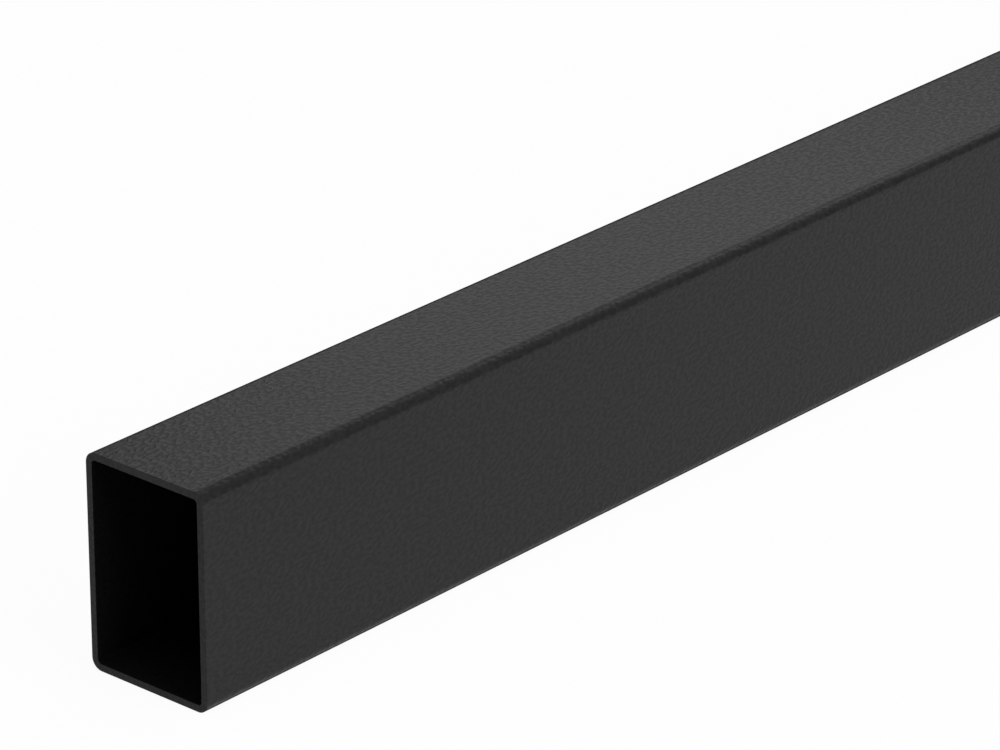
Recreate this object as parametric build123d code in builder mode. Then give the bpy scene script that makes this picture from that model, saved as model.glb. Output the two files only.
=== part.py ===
"""Rectangular steel tube fence post, one piece, cut square at both ends.

Millimetres. The post lies along X on one of its narrow sides, as it does when it
is put down, with the middle of its underside at the origin.
"""

from build123d import *
import os

os.makedirs("parts", exist_ok=True)

# The tube's outside size, its wall and the length it is cut to.
section_width = 40.0
section_height = 60.0
wall = 2.0
post_length = 1800.0

# The strip is bent round this radius inside each corner, so the outside of the
# corner is one wall larger.
inner_bend_radius = 1.2
outer_bend_radius = inner_bend_radius + wall

# The cut ends are deburred.
rim_rounding = 0.1

bore_width = section_width - 2 * wall
bore_height = section_height - 2 * wall

with BuildPart() as post_tube:
    with BuildSketch(Plane.YZ.offset(-post_length / 2)):
        with Locations((0, section_height / 2)):
            RectangleRounded(section_width, section_height, outer_bend_radius)
            RectangleRounded(bore_width, bore_height, inner_bend_radius, mode=Mode.SUBTRACT)
    extrude(amount=post_length)
    cut_ends = post_tube.faces().filter_by(Axis.X)
    fillet(cut_ends.edges(), rim_rounding)

post_tube.part.label = "post_tube"
export_step(post_tube.part, "parts/post_tube.step")
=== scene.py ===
"""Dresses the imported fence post: a black textured powder coat, a dark bore and a white studio.

The post is one rectangular tube that lies on a narrow side. Lengths are in metres, in the frame's
own axes: X runs along the post, away from the camera, and Z is up from the floor.
"""

import math

import bmesh
import bpy
from bpy.props import FloatProperty, FloatVectorProperty, IntProperty, PointerProperty
from bpy.types import Operator, Panel, PropertyGroup
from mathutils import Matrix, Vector


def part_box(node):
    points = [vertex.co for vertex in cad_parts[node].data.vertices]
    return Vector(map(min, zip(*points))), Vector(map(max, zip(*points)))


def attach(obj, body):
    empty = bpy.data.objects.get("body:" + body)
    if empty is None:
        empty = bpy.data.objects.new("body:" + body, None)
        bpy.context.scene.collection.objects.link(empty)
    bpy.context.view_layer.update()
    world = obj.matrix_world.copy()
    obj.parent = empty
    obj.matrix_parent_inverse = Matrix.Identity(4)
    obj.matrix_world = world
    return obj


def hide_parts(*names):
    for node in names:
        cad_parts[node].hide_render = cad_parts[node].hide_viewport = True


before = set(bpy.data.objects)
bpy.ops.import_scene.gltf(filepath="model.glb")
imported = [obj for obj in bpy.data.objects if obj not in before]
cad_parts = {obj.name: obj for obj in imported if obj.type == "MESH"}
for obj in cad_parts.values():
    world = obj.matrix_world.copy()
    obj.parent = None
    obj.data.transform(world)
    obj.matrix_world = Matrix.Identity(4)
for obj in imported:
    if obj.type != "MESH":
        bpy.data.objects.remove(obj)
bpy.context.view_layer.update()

bl_info = {
    "name": "Fence Post",
    "version": (1, 0, 0),
    "blender": (4, 5, 0),
    "location": "3D View > Sidebar > Fence Post",
    "description": "Builds a coated rectangular tube fence post and the studio it is shown in",
    "category": "Add Mesh",
}

MILLIMETRE = 0.001
WHITE = (1.0, 1.0, 1.0, 1.0)
SENSOR_WIDTH = 36.0

# Faces of the wall's outline that are turned inwards at least this far belong to the bore, and
# the others to the coat, which covers the rounded rim too.
FULLY_INWARD = -0.99

# How far the wrinkles are pushed out of line, and how many of the finer grains lie across one.
WRINKLE_DISTORTION = 0.3
FINE_GRAINS_ACROSS = 2.7

# Noise at or below the first level is the floor of a hollow, and from the second the top of a grain.
HOLLOW_LEVEL = 0.28
GRAIN_LEVEL = 0.72

# How far the surface is turned from the eye, from 0 face on to 1 edge on, where its grains begin
# to hide one another and where they do so fully.
GRAZING_START = 0.6
GRAZING_END = 0.8

BODY = "root"
CAD_TUBE = "post_tube"

tube_low, tube_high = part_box(CAD_TUBE)
tube_size = tube_high - tube_low


class FencePostTube(PropertyGroup):
    """Sizes of the tube and how finely its mesh follows them."""

    length: FloatProperty(
        name="Length",
        description="Length that the tube is cut to",
        default=tube_size.x,
        unit="LENGTH",
    )
    width: FloatProperty(
        name="Width",
        description="Outside width of the narrow side",
        default=tube_size.y,
        unit="LENGTH",
    )
    height: FloatProperty(
        name="Height",
        description="Outside height of the wide side",
        default=tube_size.z,
        unit="LENGTH",
    )
    wall: FloatProperty(
        name="Wall",
        description="Thickness of the tube's wall",
        default=2 * MILLIMETRE,
        unit="LENGTH",
    )
    bend_radius: FloatProperty(
        name="Bend Radius",
        description="Radius outside each of the four bent corners",
        default=3.2 * MILLIMETRE,
        unit="LENGTH",
    )
    rim_rounding: FloatProperty(
        name="Rim Rounding",
        description="Radius on both edges of each cut end",
        default=0.1 * MILLIMETRE,
        unit="LENGTH",
    )
    bend_steps: IntProperty(name="Bend Steps", description="Faces round each bent corner", default=12, min=2)
    rim_steps: IntProperty(name="Rim Steps", description="Faces round each rim edge", default=5, min=1)
    side_steps: IntProperty(name="Side Steps", description="Faces across each flat side", default=4, min=1)
    length_steps: IntProperty(name="Length Steps", description="Faces along the tube", default=60, min=1)


class FencePostCoat(PropertyGroup):
    """Look of the powder coat."""

    colour: FloatVectorProperty(
        name="Colour",
        description="Colour of the coat",
        subtype="COLOR",
        size=4,
        min=0.0,
        max=1.0,
        default=(0.018, 0.018, 0.018, 1.0),
    )
    # This change is painted shade and a painted highlight: it darkens the colour in the hollows of the grain
    # and lightens it on the grains.
    shade_and_highlight_change: FloatProperty(
        name="Colour Change",
        description="How much the colour changes between hollows and grains, as a share of it",
        subtype="FACTOR",
        default=0.17,
        min=0.0,
        max=1.0,
    )
    roughness: FloatProperty(
        name="Roughness",
        description="Roughness on the grains",
        subtype="FACTOR",
        default=0.14,
        min=0.0,
        max=1.0,
    )
    roughness_change: FloatProperty(
        name="Roughness Change",
        description="How much rougher the hollows are",
        subtype="FACTOR",
        default=0.13,
        min=0.0,
        max=1.0,
    )
    grazing_roughness: FloatProperty(
        name="Grazing Roughness",
        description="Roughness where the grains hide one another, seen almost along the surface",
        subtype="FACTOR",
        default=1.0,
        min=0.0,
        max=1.0,
    )
    index: FloatProperty(
        name="Refractive Index",
        description="Refractive index of the coat",
        default=1.2,
        min=1.0,
    )
    grain_size: FloatProperty(
        name="Grain Size",
        description="Distance from one grain to the next",
        default=1.0 * MILLIMETRE,
        unit="LENGTH",
    )
    grain_stretch: FloatProperty(
        name="Grain Stretch",
        description="How many times as long the grains are along the tube as across it",
        default=1.6,
        min=1.0,
    )
    fine_share: FloatProperty(
        name="Fine Share",
        description="Share of the finer grain in the relief",
        subtype="FACTOR",
        default=0.1,
        min=0.0,
        max=1.0,
    )
    grain_depth: FloatProperty(
        name="Grain Depth",
        description="Height of the grains above the hollows",
        default=0.041 * MILLIMETRE,
        precision=5,
        unit="LENGTH",
    )


class FencePostBore(PropertyGroup):
    """Look of the inside of the tube."""

    # The bore's near-black colour is painted shade for the inside of the tube.
    colour: FloatVectorProperty(
        name="Colour",
        description="Colour of the dark bore",
        subtype="COLOR",
        size=4,
        min=0.0,
        max=1.0,
        default=(0.005, 0.005, 0.005, 1.0),
    )
    roughness: FloatProperty(
        name="Roughness",
        description="Roughness of the bore",
        subtype="FACTOR",
        default=0.8,
        min=0.0,
        max=1.0,
    )
    index: FloatProperty(
        name="Refractive Index",
        description="Refractive index of the bore",
        default=1.1,
        min=1.0,
    )


class FencePostStudio(PropertyGroup):
    """Camera, floor and light."""

    focal_length: FloatProperty(
        name="Focal Length",
        description="Focal length on a sensor 36 mm wide",
        subtype="DISTANCE_CAMERA",
        default=199.54,
    )
    camera_back: FloatProperty(
        name="Camera Back",
        description="How far the camera stands back from the near end, along the post",
        default=0.8639,
        unit="LENGTH",
    )
    camera_aside: FloatProperty(
        name="Camera Aside",
        description="How far the camera stands from the middle of the post, across it",
        default=0.8735,
        unit="LENGTH",
    )
    camera_height: FloatProperty(
        name="Camera Height",
        description="Height of the camera above the floor",
        default=0.6287,
        unit="LENGTH",
    )
    camera_turn: FloatProperty(
        name="Camera Turn",
        description="Turn of the view from straight across the post towards along it",
        default=math.radians(48.742),
        unit="ROTATION",
    )
    camera_dip: FloatProperty(
        name="Camera Dip",
        description="Angle that the camera looks down by",
        default=math.radians(23.889),
        unit="ROTATION",
    )
    floor_size: FloatProperty(
        name="Floor Size",
        description="Side of the square floor",
        default=80.0,
        unit="LENGTH",
    )
    floor_colour: FloatVectorProperty(
        name="Floor Colour",
        description="Colour of the floor",
        subtype="COLOR",
        size=4,
        min=0.0,
        max=1.0,
        default=(0.9, 0.9, 0.9, 1.0),
    )
    floor_whiteness: FloatProperty(
        name="Floor Whiteness",
        description="Share of plain white in the floor where it is seen or mirrored",
        subtype="FACTOR",
        default=0.95,
        min=0.0,
        max=1.0,
    )
    room_level: FloatProperty(
        name="Room Level",
        description="Brightness of the room round the studio, where 1 is white",
        default=0.155,
        min=0.0,
    )
    lamp_distance: FloatProperty(
        name="Lamp Distance",
        description="Distance of every softbox from the end of the post that the camera sees",
        default=4.0,
        unit="LENGTH",
    )
    front_level: FloatProperty(
        name="Front Level",
        description="Brightness of the softbox that faces the wide side, where 1 is white",
        default=4.8,
        min=0.0,
    )
    overhead_level: FloatProperty(
        name="Overhead Level",
        description="Brightness of the softbox overhead",
        default=2.4,
        min=0.0,
    )
    back_level: FloatProperty(
        name="Back Level",
        description="Brightness of the wide softbox behind the post",
        default=0.74,
        min=0.0,
    )
    strip_level: FloatProperty(
        name="Strip Level",
        description="Brightness of the narrow softbox behind the post",
        default=0.95,
        min=0.0,
    )


def rounded_rectangle(width, height, radius, arc_steps, width_steps, height_steps):
    """Lists points round a rounded rectangle centred on the origin, each with its outward normal."""
    outline = []
    reach = (width / 2 - radius, height / 2 - radius)
    for quarter in range(4):
        first_angle = quarter * math.pi / 2
        centre = Vector(
            (
                math.copysign(reach[0], math.cos(first_angle + math.pi / 4)),
                math.copysign(reach[1], math.sin(first_angle + math.pi / 4)),
            )
        )
        for step in range(arc_steps + 1):
            angle = first_angle + step / arc_steps * math.pi / 2
            normal = Vector((math.cos(angle), math.sin(angle)))
            outline.append((centre + radius * normal, normal))
        sides = ((width_steps, 2 * reach[0]), (height_steps, 2 * reach[1]))
        side_steps, side_length = sides[quarter % 2]
        last_point, last_normal = outline[-1]
        along = Vector((-last_normal.y, last_normal.x))
        for step in range(1, side_steps):
            outline.append((last_point + step / side_steps * side_length * along, last_normal))
    return outline


def coated_tube_mesh(tube):
    """Makes the tube by carrying the outline of its wall round the outline of its section."""
    section = rounded_rectangle(
        tube.width, tube.height, tube.bend_radius, tube.bend_steps, tube.side_steps, tube.side_steps
    )
    wall_outline = rounded_rectangle(
        tube.length, tube.wall, tube.rim_rounding, tube.rim_steps, tube.length_steps, 1
    )
    shape = bmesh.new()
    normals = []
    strips = []
    for place, facing in wall_outline:
        depth = tube.wall / 2 - place.y
        strip = []
        for point, outward in section:
            spot = point - depth * outward
            strip.append(shape.verts.new((place.x, spot.x, spot.y + tube.height / 2)))
            normals.append(Vector((facing.x, facing.y * outward.x, facing.y * outward.y)).normalized())
        strips.append((strip, facing.y))
    for index, (strip, facing) in enumerate(strips):
        next_strip, next_facing = strips[(index + 1) % len(strips)]
        for spot in range(len(strip)):
            after = (spot + 1) % len(strip)
            face = shape.faces.new((strip[spot], strip[after], next_strip[after], next_strip[spot]))
            face.smooth = True
            face.material_index = int(max(facing, next_facing) < FULLY_INWARD)
    bmesh.ops.recalc_face_normals(shape, faces=shape.faces)
    mesh = bpy.data.meshes.new("coated_tube")
    shape.to_mesh(mesh)
    shape.free()
    mesh.normals_split_custom_set_from_vertices(normals)
    return mesh


def new_group(name, inputs, outputs):
    """Makes an empty shader group with these sockets, given as (name, type, default)."""
    group = bpy.data.node_groups.new(name, "ShaderNodeTree")
    for label, kind, default in inputs:
        socket = group.interface.new_socket(name=label, in_out="INPUT", socket_type=kind)
        if default is not None:
            socket.default_value = default
    for label, kind in outputs:
        group.interface.new_socket(name=label, in_out="OUTPUT", socket_type=kind)
    return group, group.nodes.new("NodeGroupInput"), group.nodes.new("NodeGroupOutput")


def feed(tree, value, socket):
    """Sets an input to a value, or links another node's output to it."""
    if isinstance(value, bpy.types.NodeSocket):
        tree.links.new(value, socket)
    else:
        socket.default_value = value


def maths(tree, operation, first, second):
    """Adds a maths node on two values or links and returns its result."""
    node = tree.nodes.new("ShaderNodeMath")
    node.operation = operation
    for socket, value in zip(node.inputs, (first, second)):
        feed(tree, value, socket)
    return node.outputs[0]


def smooth_rise(tree, value, start, end):
    """Adds a value that rises smoothly from 0 to 1 while a linked value goes from start to end."""
    rise = tree.nodes.new("ShaderNodeMapRange")
    rise.interpolation_type = "SMOOTHSTEP"
    rise.inputs["From Min"].default_value = start
    rise.inputs["From Max"].default_value = end
    tree.links.new(value, rise.inputs["Value"])
    return rise.outputs["Result"]


def powder_grain_group():
    """Grain of a textured powder coat, from 0 in a hollow to 1 on a grain, with a finer grain on it."""
    group, given, result = new_group(
        "powder_grain",
        (
            ("Grain Size", "NodeSocketFloat", 0.002),
            ("Stretch", "NodeSocketFloat", 1.0),
            ("Fine Share", "NodeSocketFloat", 0.3),
        ),
        (("Grain", "NodeSocketFloat"),),
    )
    place = group.nodes.new("ShaderNodeTexCoord")
    shares = group.nodes.new("ShaderNodeCombineXYZ")
    shares.inputs["Y"].default_value = 1.0
    shares.inputs["Z"].default_value = 1.0
    group.links.new(maths(group, "DIVIDE", 1.0, given.outputs["Stretch"]), shares.inputs["X"])
    shortened = group.nodes.new("ShaderNodeVectorMath")
    shortened.operation = "MULTIPLY"
    group.links.new(place.outputs["Object"], shortened.inputs[0])
    group.links.new(shares.outputs["Vector"], shortened.inputs[1])
    wrinkle = group.nodes.new("ShaderNodeTexNoise")
    wrinkle.inputs["Detail"].default_value = 0.0
    wrinkle.inputs["Distortion"].default_value = WRINKLE_DISTORTION
    fine = group.nodes.new("ShaderNodeTexNoise")
    fine.inputs["Detail"].default_value = 1.0
    frequency = maths(group, "DIVIDE", 1.0, given.outputs["Grain Size"])
    group.links.new(shortened.outputs["Vector"], wrinkle.inputs["Vector"])
    group.links.new(shortened.outputs["Vector"], fine.inputs["Vector"])
    group.links.new(frequency, wrinkle.inputs["Scale"])
    group.links.new(maths(group, "MULTIPLY", frequency, FINE_GRAINS_ACROSS), fine.inputs["Scale"])
    fine_part = maths(group, "MULTIPLY", fine.outputs["Fac"], given.outputs["Fine Share"])
    coarse_share = maths(group, "SUBTRACT", 1.0, given.outputs["Fine Share"])
    coarse_part = maths(group, "MULTIPLY", wrinkle.outputs["Fac"], coarse_share)
    rise = smooth_rise(group, maths(group, "ADD", coarse_part, fine_part), HOLLOW_LEVEL, GRAIN_LEVEL)
    group.links.new(rise, result.inputs["Grain"])
    return group


def new_material(name):
    """Makes an empty node material with its output and returns both with its tree."""
    material = bpy.data.materials.new(name)
    material.use_nodes = True
    tree = material.node_tree
    tree.nodes.clear()
    output = tree.nodes.new("ShaderNodeOutputMaterial")
    return material, tree, output


def add_grain(tree, group, coat, shader):
    """Raises the coat's grain on a shader's surface and returns its height, from 0 to 1."""
    grain = tree.nodes.new("ShaderNodeGroup")
    grain.node_tree = group
    grain.inputs["Grain Size"].default_value = coat.grain_size
    grain.inputs["Stretch"].default_value = coat.grain_stretch
    grain.inputs["Fine Share"].default_value = coat.fine_share
    bump = tree.nodes.new("ShaderNodeBump")
    bump.inputs["Distance"].default_value = coat.grain_depth
    tree.links.new(grain.outputs["Grain"], bump.inputs["Height"])
    tree.links.new(bump.outputs["Normal"], shader.inputs["Normal"])
    return grain.outputs["Grain"]


def between(tree, amount, low, high, kind="FLOAT"):
    """Adds a mix of two values, colours or links by a 0 to 1 amount and returns its result."""
    mix = tree.nodes.new("ShaderNodeMix")
    mix.data_type = kind
    ending = {"FLOAT": "Float", "RGBA": "Color"}[kind]
    sockets = {socket.identifier: socket for socket in (*mix.inputs, *mix.outputs)}
    feed(tree, low, sockets[f"A_{ending}"])
    feed(tree, high, sockets[f"B_{ending}"])
    tree.links.new(amount, sockets["Factor_Float"])
    return sockets[f"Result_{ending}"]


def grazing(tree):
    """Adds a value that is 0 where the surface is seen face on and 1 where it is seen from along it."""
    layer = tree.nodes.new("ShaderNodeLayerWeight")
    return smooth_rise(tree, layer.outputs["Facing"], GRAZING_START, GRAZING_END)


def scaled(colour, share):
    """A colour made lighter or darker by a share, with its alpha kept."""
    return (*(channel * share for channel in colour[:3]), colour[3])


def coat_material(coat, group):
    """Grained black powder coat, rougher in its hollows and dull edge on, with painted shade in the hollows
    and a painted highlight on the grains.
    """
    material, tree, output = new_material("black_powder_coat")
    shader = tree.nodes.new("ShaderNodeBsdfPrincipled")
    shader.inputs["IOR"].default_value = coat.index
    grain = add_grain(tree, group, coat, shader)
    # Painted shade and highlight: the base colour is darker in the hollows of the grain and lighter on the
    # grains.
    dark = scaled(coat.colour, 1 - coat.shade_and_highlight_change)
    light = scaled(coat.colour, 1 + coat.shade_and_highlight_change)
    tree.links.new(between(tree, grain, dark, light, "RGBA"), shader.inputs["Base Color"])
    rough = coat.roughness + coat.roughness_change
    gloss = between(tree, grain, rough, coat.roughness)
    rough_edge_on = between(tree, grazing(tree), gloss, coat.grazing_roughness)
    tree.links.new(rough_edge_on, shader.inputs["Roughness"])
    tree.links.new(shader.outputs["BSDF"], output.inputs["Surface"])
    return material


def bore_material(bore, coat, group):
    """Inside of the tube, painted near-black as painted shade, where hardly any light comes back out."""
    material, tree, output = new_material("shade_painted_bore")
    shader = tree.nodes.new("ShaderNodeBsdfPrincipled")
    shader.inputs["IOR"].default_value = bore.index
    shader.inputs["Roughness"].default_value = bore.roughness
    grain = add_grain(tree, group, coat, shader)
    # Painted shade and highlight of the grain, laid on the painted shade of the bore.
    dark = scaled(bore.colour, 1 - coat.shade_and_highlight_change)
    light = scaled(bore.colour, 1 + coat.shade_and_highlight_change)
    tree.links.new(between(tree, grain, dark, light, "RGBA"), shader.inputs["Base Color"])
    tree.links.new(shader.outputs["BSDF"], output.inputs["Surface"])
    return material


def floor_material(studio):
    """Pale floor that is white where it is seen or mirrored, and still takes the post's shadow."""
    material, tree, output = new_material("white_floor")
    paint = tree.nodes.new("ShaderNodeBsdfDiffuse")
    paint.inputs["Color"].default_value = studio.floor_colour
    white = tree.nodes.new("ShaderNodeEmission")
    white.inputs["Color"].default_value = WHITE
    white.inputs["Strength"].default_value = 1.0
    path = tree.nodes.new("ShaderNodeLightPath")
    seen = maths(tree, "MAXIMUM", path.outputs["Is Camera Ray"], path.outputs["Is Glossy Ray"])
    seen = maths(tree, "MAXIMUM", seen, path.outputs["Is Transmission Ray"])
    mix = tree.nodes.new("ShaderNodeMixShader")
    tree.links.new(maths(tree, "MULTIPLY", seen, studio.floor_whiteness), mix.inputs["Fac"])
    tree.links.new(paint.outputs["BSDF"], mix.inputs[1])
    tree.links.new(white.outputs["Emission"], mix.inputs[2])
    tree.links.new(mix.outputs["Shader"], output.inputs["Surface"])
    return material


def add_object(name, data):
    """Links new data to the scene as an object."""
    thing = bpy.data.objects.new(name, data)
    bpy.context.scene.collection.objects.link(thing)
    return thing


def add_floor(studio):
    """Lays a square floor under the post."""
    half = studio.floor_size / 2
    corners = [(-half, -half, 0.0), (half, -half, 0.0), (half, half, 0.0), (-half, half, 0.0)]
    mesh = bpy.data.meshes.new("floor")
    mesh.from_pydata(corners, [], [(0, 1, 2, 3)])
    mesh.materials.append(floor_material(studio))
    add_object("floor", mesh)


def add_softbox(name, distance, turn, rise, width, height, level):
    """Hangs a rectangular lamp that faces the near end.

    Its direction is turned from +X towards +Y and raised from the floor by these degrees.
    """
    turn, rise = math.radians(turn), math.radians(rise)
    away = Vector((math.cos(turn) * math.cos(rise), math.sin(turn) * math.cos(rise), math.sin(rise)))
    light = bpy.data.lights.new(name, "AREA")
    light.shape = "RECTANGLE"
    light.size = width
    light.size_y = height
    # At this power a lamp's face is as bright as a surface that glows at the level.
    light.energy = level * math.pi * width * height
    lamp = add_object(name, light)
    lamp.location = Vector((tube_low.x, 0.0, 0.0)) + distance * away
    lamp.rotation_euler = away.to_track_quat("Z", "Y").to_euler()
    lamp.visible_camera = False
    return lamp


def add_camera(studio):
    """Puts the camera where the photograph was taken from."""
    camera = add_object("camera", bpy.data.cameras.new("camera"))
    camera.data.sensor_width = SENSOR_WIDTH
    camera.data.lens = studio.focal_length
    camera.data.clip_start = 0.05
    camera.data.clip_end = 200.0
    camera.location = (tube_low.x - studio.camera_back, -studio.camera_aside, studio.camera_height)
    camera.rotation_euler = (math.pi / 2 - studio.camera_dip, 0.0, -studio.camera_turn)
    bpy.context.scene.camera = camera


class FencePostAddTube(Operator):
    """Builds the coated tube in place of the plain one."""

    bl_idname = "fence_post.add_tube"
    bl_label = "Coated Tube"

    def execute(self, context):
        scene = context.scene
        group = powder_grain_group()
        mesh = coated_tube_mesh(scene.fence_post_tube)
        mesh.materials.append(coat_material(scene.fence_post_coat, group))
        mesh.materials.append(bore_material(scene.fence_post_bore, scene.fence_post_coat, group))
        tube = add_object("coated_tube", mesh)
        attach(tube, BODY)
        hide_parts(CAD_TUBE)
        return {"FINISHED"}


class FencePostSetStage(Operator):
    """Sets up the white floor, the soft light and the camera."""

    bl_idname = "fence_post.set_stage"
    bl_label = "Studio"

    def execute(self, context):
        studio = context.scene.fence_post_studio
        add_floor(studio)
        away = studio.lamp_distance
        front, overhead = studio.front_level, studio.overhead_level
        back, strip = studio.back_level, studio.strip_level
        add_softbox("front_softbox", away, turn=276.5, rise=31, width=2.9, height=2.2, level=front)
        add_softbox("overhead_softbox", away, turn=250, rise=78, width=3.0, height=3.0, level=overhead)
        add_softbox("back_softbox", away, turn=12.3, rise=29.6, width=5.0, height=2.3, level=back)
        add_softbox("back_strip", away, turn=2.5, rise=35.8, width=1.3, height=2.0, level=strip)
        world = bpy.data.worlds.new("room")
        world.use_nodes = True
        room = world.node_tree.nodes["Background"]
        room.inputs["Color"].default_value = WHITE
        room.inputs["Strength"].default_value = studio.room_level
        context.scene.world = world
        context.scene.view_settings.view_transform = "Standard"
        add_camera(studio)
        return {"FINISHED"}


class FencePostPanel(Panel):
    """Lists the post's tools in the 3D view's sidebar."""

    bl_idname = "VIEW3D_PT_fence_post"
    bl_label = "Fence Post"
    bl_space_type = "VIEW_3D"
    bl_region_type = "UI"
    bl_category = "Fence Post"

    def draw(self, context):
        for operator, groups in TOOLS:
            box = self.layout.box()
            for group in groups:
                settings = getattr(context.scene, group)
                for name in settings.__annotations__:
                    box.prop(settings, name)
            box.operator(operator)


SETTINGS = {
    "fence_post_tube": FencePostTube,
    "fence_post_coat": FencePostCoat,
    "fence_post_bore": FencePostBore,
    "fence_post_studio": FencePostStudio,
}
TOOLS = (
    ("fence_post.add_tube", ("fence_post_tube", "fence_post_coat", "fence_post_bore")),
    ("fence_post.set_stage", ("fence_post_studio",)),
)
CLASSES = (*SETTINGS.values(), FencePostAddTube, FencePostSetStage, FencePostPanel)


def register():
    """Registers the classes and gives each scene its settings."""
    for item in CLASSES:
        bpy.utils.register_class(item)
    for name, kind in SETTINGS.items():
        setattr(bpy.types.Scene, name, PointerProperty(type=kind))


def unregister():
    """Takes the settings and the classes away again."""
    for name in SETTINGS:
        delattr(bpy.types.Scene, name)
    for item in reversed(CLASSES):
        bpy.utils.unregister_class(item)


def main():
    """Builds everything."""
    register()
    bpy.ops.fence_post.add_tube()
    bpy.ops.fence_post.set_stage()


if __name__ == "__main__":
    main()
